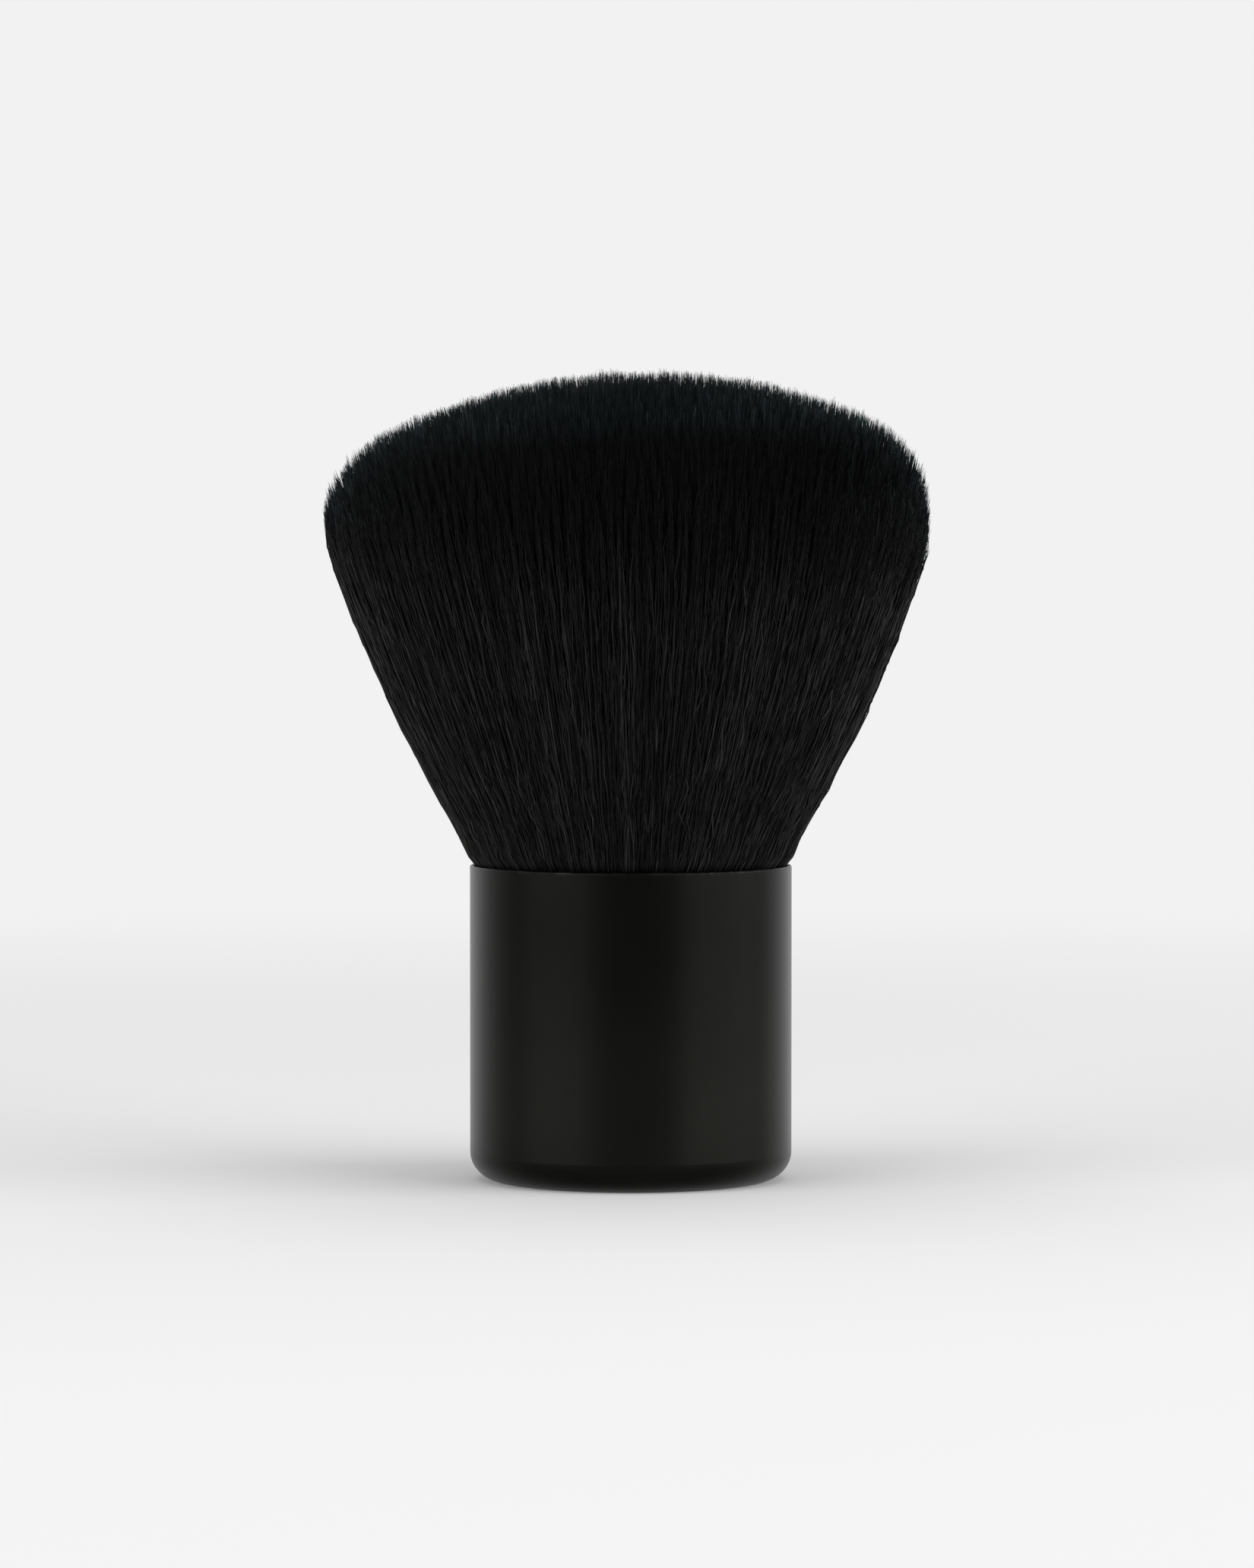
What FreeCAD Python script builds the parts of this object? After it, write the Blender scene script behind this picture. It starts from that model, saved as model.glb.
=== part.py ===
"""Kabuki makeup brush: a drawn metal handle cup, the parts that it holds, and a flared, domed bristle head.

The origin is the middle of the flat base and +Z runs up the brush. The bristles bend where they leave
the handle, so their solid is parted by two round gaps about one bending point on the axis: the gripped
root stays with the handle, the band nods on it, and the head sways on the band.
"""

import FreeCAD
import Part
import math
import os
import Sketcher

# Driving sizes in millimetres
SIZES = {
    # Handle cup
    "handle_diameter": 28.0,
    "handle_height": 27.4,
    "shell_wall": 0.6,
    "shell_floor": 1.0,
    "base_edge_radius": 2.5,
    "lip_radius": 0.22,
    # Weight in the foot of the handle
    "pad_thickness": 0.5,
    "weight_height": 4.5,
    "weight_chamfer": 0.6,
    "weight_gap": 0.15,
    "weight_headroom": 0.2,
    # Moulded core that carries the tuft
    "core_gap": 0.25,
    "core_skirt": 2.6,
    "core_web": 1.6,
    "core_collar": 1.3,
    "core_recess": 6.0,
    # Ferrule and the glue that holds it
    "bond_film": 0.3,
    "bond_floor": 0.2,
    "ferrule_height": 12.5,
    "ferrule_wall": 0.4,
    "ferrule_flange": 2.5,
    "ferrule_edge_radius": 0.25,
    # Bound and glued roots
    "resin_height": 5.5,
    "thread_diameter": 0.4,
    "thread_pitch": 0.9,
    # Bristles
    "mouth_gap": 0.08,
    "head_height": 42.6,
    "head_diameter": 52.8,
    "dome_radius": 50.8,
    "shoulder_radius": 9.0,
    "flare_radius": 126.0,
    # Bending of the bristles
    "pivot_depth": 1.0,
    "lip_clearance": 0.4,
    "band_depth": 2.2,
    "flex_gap": 0.25,
    # Slip between round pieces that are pushed together
    "slip": 0.03,
}

COUNTS = {
    "rib_count": 8,
    "thread_turns": 4,
}

# Radii and heights that follow from the driving sizes
PLACES = {
    # Radii, from the outside of the handle inwards
    "shell_radius": "=sizes.handle_diameter / 2",
    "bore_radius": "=shell_radius - sizes.shell_wall",
    "inner_edge_radius": "=sizes.base_edge_radius - sizes.shell_wall",
    "mouth_radius": "=bore_radius - sizes.mouth_gap",
    "core_radius": "=bore_radius - sizes.core_gap",
    "core_foot_radius": "=core_radius - inner_edge_radius",
    "rib_radius": "=sizes.core_gap - sizes.slip",
    "pocket_radius": "=core_radius - sizes.core_skirt",
    "weight_radius": "=pocket_radius - sizes.weight_gap",
    "recess_radius": "=core_radius - sizes.core_collar",
    "bond_outside": "=recess_radius - sizes.slip",
    "ferrule_radius": "=recess_radius - sizes.bond_film",
    "bond_inside": "=ferrule_radius + sizes.slip",
    "ferrule_bore": "=ferrule_radius - sizes.ferrule_wall",
    "flange_bore": "=ferrule_bore - sizes.ferrule_flange",
    "button_radius": "=flange_bore - sizes.slip",
    "tuft_radius": "=ferrule_bore - sizes.slip",
    "waist_radius": "=tuft_radius - sizes.thread_diameter - 2 * sizes.slip",
    "thread_radius": "=waist_radius + sizes.slip + sizes.thread_diameter / 2",
    # Heights, from the base upwards
    "core_foot_top": "=sizes.shell_floor + inner_edge_radius",
    "pad_top": "=sizes.shell_floor + sizes.pad_thickness",
    "weight_top": "=pad_top + sizes.weight_height",
    "web_bottom": "=weight_top + sizes.weight_headroom",
    "seat_height": "=web_bottom + sizes.core_web",
    "core_top": "=seat_height + sizes.core_recess",
    "rib_length": "=core_top - core_foot_top",
    "ferrule_bottom": "=seat_height + sizes.bond_floor",
    "flange_top": "=ferrule_bottom + sizes.ferrule_wall",
    "ferrule_top": "=ferrule_bottom + sizes.ferrule_height",
    "resin_top": "=flange_top + sizes.resin_height",
    "thread_rise": "=counts.thread_turns * sizes.thread_pitch",
    "thread_start": "=flange_top + (sizes.resin_height - thread_rise) / 2",
    "waist_bottom": "=thread_start - sizes.thread_diameter",
    "waist_top": "=thread_start + thread_rise + sizes.thread_diameter",
    "brush_top": "=sizes.handle_height + sizes.head_height",
    "shoulder_center": "=sizes.head_diameter / 2 - sizes.shoulder_radius",
    # Reaches of the round gaps, from the bending point
    "pivot_height": "=sizes.handle_height - sizes.pivot_depth",
    "below_pivot": "=pivot_height - resin_top + sizes.flex_gap",
    "root_reach": "=sqrt(shell_radius^2 + sizes.pivot_depth^2) + sizes.lip_clearance",
    "band_inside": "=root_reach + sizes.flex_gap",
    "band_reach": "=band_inside + sizes.band_depth",
    "head_inside": "=band_reach + sizes.flex_gap",
}

AXIS = "axis"
BASE = "base"

# Numbers that a sketch gives to its origin, its axes and the points of an edge
ORIGIN_POINT = (-1, 1)
H_AXIS, V_AXIS = range(-1, -3, -1)
EDGE_POINTS = ("edge", "start", "end", "middle")
START, END, MIDDLE = (EDGE_POINTS.index(name) for name in ("start", "end", "middle"))

SMALL_SHARE = 1e-6

doc = FreeCAD.newDocument("kabuki_brush")


def add_sheet(name, cells):
    """A sheet with one named cell for each entry."""
    sheet = doc.addObject("Spreadsheet::Sheet", name)
    for row, (alias, content) in enumerate(cells.items(), start=1):
        sheet.set(f"A{row}", alias)
        sheet.set(f"B{row}", str(content))
        sheet.setAlias(f"B{row}", alias)
    return sheet


sheets = {name: add_sheet(name, cells) for name, cells in
          (("sizes", SIZES), ("counts", COUNTS), ("places", PLACES))}
doc.recompute()


def cell(alias):
    """The expression that reads a named cell."""
    for name, cells in (("sizes", SIZES), ("counts", COUNTS), ("places", PLACES)):
        if alias in cells:
            return f"{name}.{alias}"
    raise KeyError(alias)


def value(alias):
    """The number in a named cell."""
    if alias in (AXIS, BASE):
        return 0.0
    name = cell(alias).split(".")[0]
    return float(sheets[name].get(alias))


def bind(thing, prop, alias):
    thing.setExpression(prop, cell(alias))


# Sketches and bodies

def add_body(label):
    body = doc.addObject("PartDesign::Body", label)
    body.Label = label
    return body


def add_sketch(body, name, role):
    """A sketch on one of the body's own origin planes."""
    sketch = body.newObject("Sketcher::SketchObject", name)
    plane = next(plane for plane in body.Origin.OriginFeatures if plane.Role == role)
    sketch.AttachmentSupport = (plane, [""])
    sketch.MapMode = "FlatFace"
    return sketch


def hold(sketch, kind, reference, alias):
    """A dimension of the sketch, bound to a named cell."""
    number = sketch.addConstraint(Sketcher.Constraint(kind, *reference, value(alias)))
    bind(sketch, f"Constraints[{number}]", alias)


def place_point(sketch, point, across, up):
    """Hold a point of the sketch at a distance from the axis and at a height."""
    for kind, alias, zero, line in (("DistanceX", across, AXIS, V_AXIS), ("DistanceY", up, BASE, H_AXIS)):
        if alias == zero:
            sketch.addConstraint(Sketcher.Constraint("PointOnObject", *point, line))
        else:
            hold(sketch, kind, (*ORIGIN_POINT, *point), alias)


def add_outline(sketch, corners):
    """A closed outline of straight lines through corners named by their two cells."""
    points = [FreeCAD.Vector(value(across), value(up), 0) for across, up in corners]
    for here, there in zip(points, points[1:] + points[:1]):
        sketch.addGeometry(Part.LineSegment(here, there))
    for line in range(len(points)):
        following = (line + 1) % len(points)
        sketch.addConstraint(Sketcher.Constraint("Coincident", line, END, following, START))
    for line, (across, up) in enumerate(corners):
        place_point(sketch, (line, START), across, up)


def add_feature(body, kind, name, **settings):
    feature = body.newObject(f"PartDesign::{kind}", name)
    for setting, content in settings.items():
        setattr(feature, setting, content)
    return feature


def revolve(body, sketch, name):
    feature = add_feature(body, "Revolution", name, Profile=sketch, ReferenceAxis=(sketch, ["V_Axis"]))
    doc.recompute()
    return feature


def turned_body(label, corners):
    """A body turned about the axis from an outline of straight lines."""
    body = add_body(label)
    sketch = add_sketch(body, f"{label}_outline", "XZ_Plane")
    add_outline(sketch, corners)
    return body, revolve(body, sketch, f"{label}_turned")


def dress_rim(body, base, kind, prop, alias, radius, height):
    """Round or chamfer the rim of a given radius at a given height."""
    near = SMALL_SHARE * value("handle_diameter")
    rims = []
    for number, edge in enumerate(base.Shape.Edges, start=1):
        curve = edge.Curve
        if not isinstance(curve, Part.Circle):
            continue
        if abs(curve.Radius - value(radius)) < near and abs(curve.Center.z - value(height)) < near:
            rims.append(f"Edge{number}")
    feature = add_feature(body, kind, f"{body.Label}_{alias}_{radius}", Base=(base, rims))
    bind(feature, prop, alias)
    doc.recompute()
    return feature


# Handle

def make_handle_shell():
    """Cup drawn from one sheet, with a round base edge and a broken lip."""
    body, cup = turned_body("handle_shell", [
        (AXIS, BASE),
        ("shell_radius", BASE),
        ("shell_radius", "handle_height"),
        ("bore_radius", "handle_height"),
        ("bore_radius", "shell_floor"),
        (AXIS, "shell_floor"),
    ])
    cup = dress_rim(body, cup, "Fillet", "Radius", "base_edge_radius", "shell_radius", BASE)
    cup = dress_rim(body, cup, "Fillet", "Radius", "inner_edge_radius", "bore_radius", "shell_floor")
    cup = dress_rim(body, cup, "Fillet", "Radius", "lip_radius", "shell_radius", "handle_height")
    dress_rim(body, cup, "Fillet", "Radius", "lip_radius", "bore_radius", "handle_height")
    return body


def make_weight_pad():
    """Adhesive foam disc that holds the weight to the floor of the cup."""
    pad = doc.addObject("Part::Cylinder", "weight_pad")
    bind(pad, "Radius", "weight_radius")
    bind(pad, "Height", "pad_thickness")
    bind(pad, "Placement.Base.z", "shell_floor")
    return pad


def make_base_weight():
    """Steel slug with chamfered rims, which keeps the brush standing."""
    body, slug = turned_body("base_weight", [
        (AXIS, "pad_top"),
        ("weight_radius", "pad_top"),
        ("weight_radius", "weight_top"),
        (AXIS, "weight_top"),
    ])
    slug = dress_rim(body, slug, "Chamfer", "Size", "weight_chamfer", "weight_radius", "pad_top")
    dress_rim(body, slug, "Chamfer", "Size", "weight_chamfer", "weight_radius", "weight_top")
    return body


def make_core_insert():
    """Moulded core with a pocket for the weight below, a seat for the tuft above and crush ribs outside."""
    body, core = turned_body("core_insert", [
        (AXIS, "web_bottom"),
        ("pocket_radius", "web_bottom"),
        ("pocket_radius", "shell_floor"),
        ("core_foot_radius", "shell_floor"),
        ("core_radius", "core_foot_top"),
        ("core_radius", "core_top"),
        ("recess_radius", "core_top"),
        ("recess_radius", "seat_height"),
        (AXIS, "seat_height"),
    ])
    sketch = add_sketch(body, "rib_section", "XY_Plane")
    bind(sketch, "AttachmentOffset.Base.z", "core_foot_top")
    center = FreeCAD.Vector(value("core_radius"), 0, 0)
    sketch.addGeometry(Part.Circle(center, FreeCAD.Vector(0, 0, 1), value("rib_radius")))
    hold(sketch, "Radius", (0,), "rib_radius")
    place_point(sketch, (0, MIDDLE), "core_radius", BASE)
    rib = add_feature(body, "Pad", "rib", Profile=sketch)
    bind(rib, "Length", "rib_length")
    doc.recompute()
    ribs = add_feature(body, "PolarPattern", "ribs", Originals=[rib], Axis=(sketch, ["N_Axis"]), Angle=360)
    bind(ribs, "Occurrences", "rib_count")
    body.Tip = ribs
    return body


# Tuft

def make_seat_adhesive():
    """Cured glue under and around the ferrule, in the seat of the core."""
    return turned_body("seat_adhesive", [
        (AXIS, "seat_height"),
        ("bond_outside", "seat_height"),
        ("bond_outside", "core_top"),
        ("bond_inside", "core_top"),
        ("bond_inside", "ferrule_bottom"),
        (AXIS, "ferrule_bottom"),
    ])[0]


def make_tuft_ferrule():
    """Thin sleeve round the bristle roots, with its foot turned in."""
    body, sleeve = turned_body("tuft_ferrule", [
        ("flange_bore", "ferrule_bottom"),
        ("ferrule_radius", "ferrule_bottom"),
        ("ferrule_radius", "ferrule_top"),
        ("ferrule_bore", "ferrule_top"),
        ("ferrule_bore", "flange_top"),
        ("flange_bore", "flange_top"),
    ])
    dress_rim(body, sleeve, "Fillet", "Radius", "ferrule_edge_radius", "ferrule_radius", "ferrule_bottom")
    return body


def make_root_resin():
    """Cast block of the glued root ends, waisted for its binding and filling the hole of the flange."""
    return turned_body("root_resin", [
        (AXIS, "ferrule_bottom"),
        ("button_radius", "ferrule_bottom"),
        ("button_radius", "flange_top"),
        ("tuft_radius", "flange_top"),
        ("tuft_radius", "waist_bottom"),
        ("waist_radius", "waist_bottom"),
        ("waist_radius", "waist_top"),
        ("tuft_radius", "waist_top"),
        ("tuft_radius", "resin_top"),
        (AXIS, "resin_top"),
    ])[0]


def make_binding_thread():
    """Thread wound round the waist of the roots."""
    body = add_body("binding_thread")
    sketch = add_sketch(body, "thread_section", "XZ_Plane")
    center = FreeCAD.Vector(value("thread_radius"), value("thread_start"), 0)
    sketch.addGeometry(Part.Circle(center, FreeCAD.Vector(0, 0, 1), value("thread_diameter") / 2))
    hold(sketch, "Diameter", (0,), "thread_diameter")
    place_point(sketch, (0, MIDDLE), "thread_radius", "thread_start")
    winding = add_feature(body, "AdditiveHelix", "winding", Profile=sketch, ReferenceAxis=(sketch, ["V_Axis"]))
    winding.Mode = "pitch-turns-angle"
    bind(winding, "Pitch", "thread_pitch")
    bind(winding, "Turns", "thread_turns")
    return body


# Bristles

def touching_center(point, other_center, other_radius, radius):
    """Centre of the arc that starts at a point and runs into a smaller arc bent the same way."""
    apart = other_center - point
    near = radius - other_radius
    along = (radius**2 - near**2 + apart.Length**2) / (2 * apart.Length)
    aside = math.sqrt(radius**2 - along**2)
    ahead = FreeCAD.Vector(apart).normalize()
    inward = FreeCAD.Vector(-ahead.y, ahead.x, 0)
    return point + ahead * along + inward * aside


def arc(center, start, end):
    """Arc about a centre, anticlockwise from one point to another."""
    first, last = (math.atan2(point.y - center.y, point.x - center.x) for point in (start, end))
    circle = Part.Circle(center, FreeCAD.Vector(0, 0, 1), (start - center).Length)
    return Part.ArcOfCircle(circle, first, last)


def make_bristle_form():
    """The whole brush of bristles, from the glued roots to the domed tips."""
    body = add_body("bristle_form")
    sketch = add_sketch(body, "bristle_outline", "XZ_Plane")

    def point(across, up):
        return FreeCAD.Vector(value(across), value(up), 0)

    corners = [point(AXIS, "resin_top"), point("tuft_radius", "resin_top"), point("tuft_radius", "ferrule_top"),
               point("mouth_radius", "handle_height")]
    tip = point(AXIS, "brush_top")
    dome_center = tip - FreeCAD.Vector(0, value("dome_radius"), 0)
    reach = value("dome_radius") - value("shoulder_radius")
    rise = math.sqrt(reach**2 - value("shoulder_center") ** 2)
    shoulder_center = dome_center + FreeCAD.Vector(value("shoulder_center"), rise, 0)
    flare_center = touching_center(corners[-1], shoulder_center, value("shoulder_radius"), value("flare_radius"))
    flare_end = flare_center + (shoulder_center - flare_center).normalize() * value("flare_radius")
    dome_start = dome_center + (shoulder_center - dome_center).normalize() * value("dome_radius")

    lines = [Part.LineSegment(here, there) for here, there in zip(corners, corners[1:])]
    foot, _, cone = range(len(lines))
    flare, shoulder, dome, spine = (len(lines) + step for step in range(4))
    sketch.addGeometry(lines)
    sketch.addGeometry(arc(flare_center, corners[-1], flare_end))
    sketch.addGeometry(arc(shoulder_center, flare_end, dome_start))
    sketch.addGeometry(arc(dome_center, dome_start, tip))
    sketch.addGeometry(Part.LineSegment(tip, corners[0]))

    for here in (*range(cone), cone, dome, spine):
        following = foot if here == spine else here + 1
        sketch.addConstraint(Sketcher.Constraint("Coincident", here, END, following, START))
    for here in (flare, shoulder):
        sketch.addConstraint(Sketcher.Constraint("Tangent", here, END, here + 1, START))
    place_point(sketch, (foot, START), AXIS, "resin_top")
    place_point(sketch, (foot, END), "tuft_radius", "resin_top")
    place_point(sketch, (cone, START), "tuft_radius", "ferrule_top")
    place_point(sketch, (cone, END), "mouth_radius", "handle_height")
    place_point(sketch, (dome, END), AXIS, "brush_top")
    sketch.addConstraint(Sketcher.Constraint("PointOnObject", dome, MIDDLE, V_AXIS))
    hold(sketch, "Radius", (flare,), "flare_radius")
    hold(sketch, "Radius", (shoulder,), "shoulder_radius")
    hold(sketch, "Radius", (dome,), "dome_radius")
    hold(sketch, "DistanceX", (*ORIGIN_POINT, shoulder, MIDDLE), "shoulder_center")
    revolve(body, sketch, "bristle_form_turned")
    return body


def flex_zone(name, reach):
    """Everything within a reach of the bending point, and straight down from there."""
    ball = doc.addObject("Part::Sphere", f"{name}_ball")
    bind(ball, "Radius", reach)
    bind(ball, "Placement.Base.z", "pivot_height")
    stem = doc.addObject("Part::Cylinder", f"{name}_stem")
    bind(stem, "Radius", reach)
    bind(stem, "Height", "below_pivot")
    stem.setExpression("Placement.Base.z", f"{cell('pivot_height')} - {cell('below_pivot')}")
    return combine("Fuse", name, ball, stem)


def combine(kind, label, base, tool):
    joined = doc.addObject(f"Part::{kind}", label)
    joined.Label = label
    joined.Base = base
    joined.Tool = tool
    return joined


def make_bristles(form):
    """The root, band and head of the bristles, parted by round gaps."""
    root = combine("Common", "bristle_root", form, flex_zone("root_zone", "root_reach"))
    lower = combine("Common", "lower_bristles", form, flex_zone("band_zone", "band_reach"))
    band = combine("Cut", "bristle_band", lower, flex_zone("band_clearance", "band_inside"))
    head = combine("Cut", "bristle_head", form, flex_zone("head_clearance", "head_inside"))
    return [root, band, head]


# Checks and files

def check(subparts):
    """Stop if any object failed or any sub-part is not one sound solid."""
    for thing in doc.Objects:
        if {"Invalid", "Error"} & set(thing.State):
            raise RuntimeError(f"{thing.Label} failed: {thing.State}")
    for subpart in subparts:
        shape = subpart.Shape
        if shape.isNull() or not shape.isValid() or len(shape.Solids) != 1:
            raise RuntimeError(f"{subpart.Label} is not one valid solid")


def thread_clearance():
    """Least gap between neighbouring turns of the binding, from points one turn apart."""
    steps = 90
    points = []
    for step in range(steps * COUNTS["thread_turns"] + 1):
        angle = 2 * math.pi * step / steps
        height = value("thread_pitch") * step / steps
        radius = value("thread_radius")
        points.append(FreeCAD.Vector(radius * math.cos(angle), radius * math.sin(angle), height))
    apart = [points[0].distanceToPoint(point) for point in points[steps // 2:]]
    return min(apart) - value("thread_diameter")


def main():
    subparts = [
        make_handle_shell(),
        make_weight_pad(),
        make_base_weight(),
        make_core_insert(),
        make_seat_adhesive(),
        make_tuft_ferrule(),
        make_root_resin(),
        make_binding_thread(),
        *make_bristles(make_bristle_form()),
    ]
    doc.recompute()
    check(subparts)
    os.makedirs("parts", exist_ok=True)
    for subpart in subparts:
        subpart.Shape.exportStep(f"parts/{subpart.Label}.step")
        box = subpart.Shape.optimalBoundingBox()
        print(f"{subpart.Label}: {subpart.Shape.Volume:.1f} mm3, z {box.ZMin:.2f} to {box.ZMax:.2f} mm, "
              f"{box.XLength:.2f} mm across")
    print(f"Least gap between turns of the binding: {thread_clearance():.2f} mm")


main()
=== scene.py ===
"""Kabuki makeup brush: a satin black handle and a flared head of fine black filaments on a pale floor."""

import math
import bmesh
import bpy
import numpy as np
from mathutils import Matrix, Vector
from mathutils.kdtree import KDTree


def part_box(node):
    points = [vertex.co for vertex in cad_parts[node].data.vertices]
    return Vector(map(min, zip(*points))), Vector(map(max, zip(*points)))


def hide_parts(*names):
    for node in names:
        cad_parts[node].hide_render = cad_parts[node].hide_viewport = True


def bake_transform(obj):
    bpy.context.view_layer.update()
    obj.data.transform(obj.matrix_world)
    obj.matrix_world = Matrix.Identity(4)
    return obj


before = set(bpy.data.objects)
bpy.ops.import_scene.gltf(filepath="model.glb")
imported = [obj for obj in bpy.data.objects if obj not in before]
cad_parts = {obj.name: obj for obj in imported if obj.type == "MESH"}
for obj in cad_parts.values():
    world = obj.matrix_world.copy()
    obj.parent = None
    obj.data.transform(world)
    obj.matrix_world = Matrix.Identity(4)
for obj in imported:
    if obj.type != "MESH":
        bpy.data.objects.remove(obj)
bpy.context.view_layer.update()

MM = 0.001

# Sizes of the brush, from the frame where it holds them
SHELL_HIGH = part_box("handle_shell")[1]
HEAD_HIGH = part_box("bristle_head")[1]
HANDLE_RADIUS = SHELL_HIGH.x
LIP_HEIGHT = SHELL_HIGH.z
LIP_WALL = 0.68 * MM
MOUTH_RADIUS = HANDLE_RADIUS - LIP_WALL
HEAD_RADIUS = HEAD_HIGH.x
TIP_HEIGHT = HEAD_HIGH.z
HEAD_HEIGHT = TIP_HEIGHT - LIP_HEIGHT
DOME_RADIUS = 50.2 * MM
FLARE_RADIUS = 126.0 * MM
SHOULDER_RADIUS = 9.6 * MM
HEAD_LEAN = 0.6 * MM
TRIM_TILT = 0.038
CORNER_LIFT = 1.2 * MM
CORNER_POWER = 4
LIP_PUFF = 0.35 * MM
PUFF_RISE = 0.9 * MM
PUFF_SPREAD = 1.3 * MM
EDGE_MARGIN = 0.25 * MM
WIDEST_REACH = HEAD_RADIUS - EDGE_MARGIN

# Filaments
SEED = 7
FILAMENTS = 52000
TUFTS = 3400
OUTER_SHARE = 0.9
LARGEST_SHARE = 0.998
FILAMENT_RADIUS = 0.064 * MM
FILAMENT_SIDES = 4
TAPER_LENGTH = 6.0 * MM
TAPER_POWER = 0.85
TIP_THICKNESS_SHARE = 0.12
ROOT_DEPTH = 1.2 * MM
CROWN_DEPTH = 10.0 * MM
LONGEST_FILAMENT = 45.0 * MM
LOWER_POINTS = 6
UPPER_POINTS = 10
CROWN_POINTS = 3
FLANK_POWER = 0.9
CROWN_POWER = 0.7
FOOT_SECTORS = 3
FLANK_SECTORS = 4
CROWN_SECTORS = 4
GOLDEN_ANGLE = math.pi * (3 - math.sqrt(5))

# Habits of the filaments and of the tufts that they stand in
SCATTER_SHARE = 0.25
LOOSE_DEPTH = 0.012
LOOSE_SHARE = 0.35
LOOSE_LAYERS = 3.0
SHOULDER_SHARES = (0.86, 0.98)
CROWN_SHARES = (0.7, 0.85)
TRIM_RISE = 0.28 * MM
TUFT_LENGTH_SPREAD = 0.15 * MM
SHORTFALL = 0.42 * MM
SHORTFALL_SHAPE = 1.5
DARK_SHORTFALL_SHARE = 1.6
PALE_SHORTFALL_SHARE = 0.2
TUFT_PULLS = (0.1, 0.6)
OWN_PULL_SHARES = (0.5, 1.0)
PULL_POWER = 1.5
PULL_LIMIT = 0.85
TUFT_POINTS = (0.0, 0.4)
SHOULDER_POINT_GAIN = 2.0
POINT_LENGTH = 4.0 * MM
STRAY_SPREAD = 0.12 * MM
STRAY_SHAPE = 6.0
STRAY_GROWTH = 16.0
STRAY_AT_FOOT = 1.2
STRAY_LOSS = 0.55
STRAY_SHARE = 0.3
TUFT_BULGE = -0.15 * MM
TUFT_BULGE_SPREAD = 0.1 * MM
OWN_BULGE_SPREAD = 0.18 * MM
THICKNESS_SHARES = (0.6, 1.2)
TUFT_SHADE_SHARE = 0.15
# Painted light: the shade value of filaments at the left and right of the head is raised, and in the middle
# lowered, as if lit from the sides
SIDE_PAINTED_LIGHT = 0.22
MIDDLE_SIDE = 0.5
# Painted light and shade: the crown lag moves the painted dark band onto the tips of the outer filaments at
# front and back, and the side lag pushes it off the shoulders at left and right, which then look lit
CROWN_SHADE_LAG = 3.0 * MM
SIDE_LIGHT_LAG = 7.0 * MM
LAG_GROWTH = 2.0 * MM
SHADE_MARGIN = 0.001

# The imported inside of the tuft
HEART_SHARE = 0.91
HEART_EDGE_SHARE = 0.6
HEART_DROP = 1.5 * MM
HEART_SLOPE = 1.0 * MM
HEART_TOP_RINGS = 16
HEART_LOWER_RINGS = 8
HEART_UPPER_RINGS = 14
HEART_STEPS = 96
MERGE_GAP = 0.001 * MM

# Bending of the head: the lower zone nods on the handle and the upper zone sways on the band
CUT_RISE = 9.0 * MM
CUT_HEIGHT = LIP_HEIGHT + CUT_RISE
CUT_SPREAD = 0.8 * MM

# Wear of the hard pieces, which on the handle's lip is partly a painted highlight, and a painted floor
# reflection on the handle's foot
HANDLE_RUB_AND_HIGHLIGHT_WIDTH = 0.45 * MM
INNER_RUB_WIDTH = 0.6 * MM
FOOT_REFLECTION_START = 4.0 * MM
FOOT_REFLECTION_END = 24.0 * MM
FOOT_REFLECTION_GAIN = 1.7


# Node helpers

def new_tree(name):
    """A new material and its empty node tree."""
    material = bpy.data.materials.new(name)
    material.use_nodes = True
    material.node_tree.nodes.clear()
    return material, material.node_tree


def put(tree, socket, content):
    """Sets an input to a value, or links it from a socket."""
    if isinstance(content, bpy.types.NodeSocket):
        tree.links.new(content, socket)
    else:
        socket.default_value = content


def node(tree, kind, settings=None, **inputs):
    """A node with its settings, and with each named input set to a value or linked from a socket."""
    made = tree.nodes.new(kind)
    for setting, content in (settings or {}).items():
        setattr(made, setting, content)
    for name, content in inputs.items():
        put(tree, made.inputs[name.replace("_", " ")], content)
    return made


def math_node(tree, operation, *contents):
    """The result of a sum on numbers or sockets."""
    made = node(tree, "ShaderNodeMath", {"operation": operation})
    for socket, content in zip(made.inputs, contents):
        put(tree, socket, content)
    return made.outputs[0]


def fade(tree, content, low, high, to_low=0.0, to_high=1.0):
    """A smooth step of a value between two of its levels."""
    made = node(tree, "ShaderNodeMapRange", {"interpolation_type": "SMOOTHSTEP"}, Value=content,
                From_Min=low, From_Max=high, To_Min=to_low, To_Max=to_high)
    return made.outputs["Result"]


def mix_colours(tree, factor, first, second, blend="MIX"):
    """A colour between two colours, or their product."""
    made = node(tree, "ShaderNodeMix", {"data_type": "RGBA", "blend_type": blend})
    for number, content in zip((0, 6, 7), (factor, first, second)):
        put(tree, made.inputs[number], content)
    return made.outputs[2]


def ramp_of(tree, content, stops):
    """The colour at a value between stops."""
    made = node(tree, "ShaderNodeValToRGB", None, Fac=content)
    ramp = made.color_ramp
    (first, colour), *middle, (last, end_colour) = stops.items()
    ramp.elements[0].position = first
    ramp.elements[0].color = colour
    ramp.elements[1].position = last
    ramp.elements[1].color = end_colour
    for position, level in middle:
        ramp.elements.new(position).color = level
    return made.outputs["Color"]


def grey(level, warmth=0.0):
    """A grey as a colour, warmer for a positive warmth and cooler for a negative one."""
    return (level * (1 + warmth), level, level * (1 - warmth), 1.0)


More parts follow.
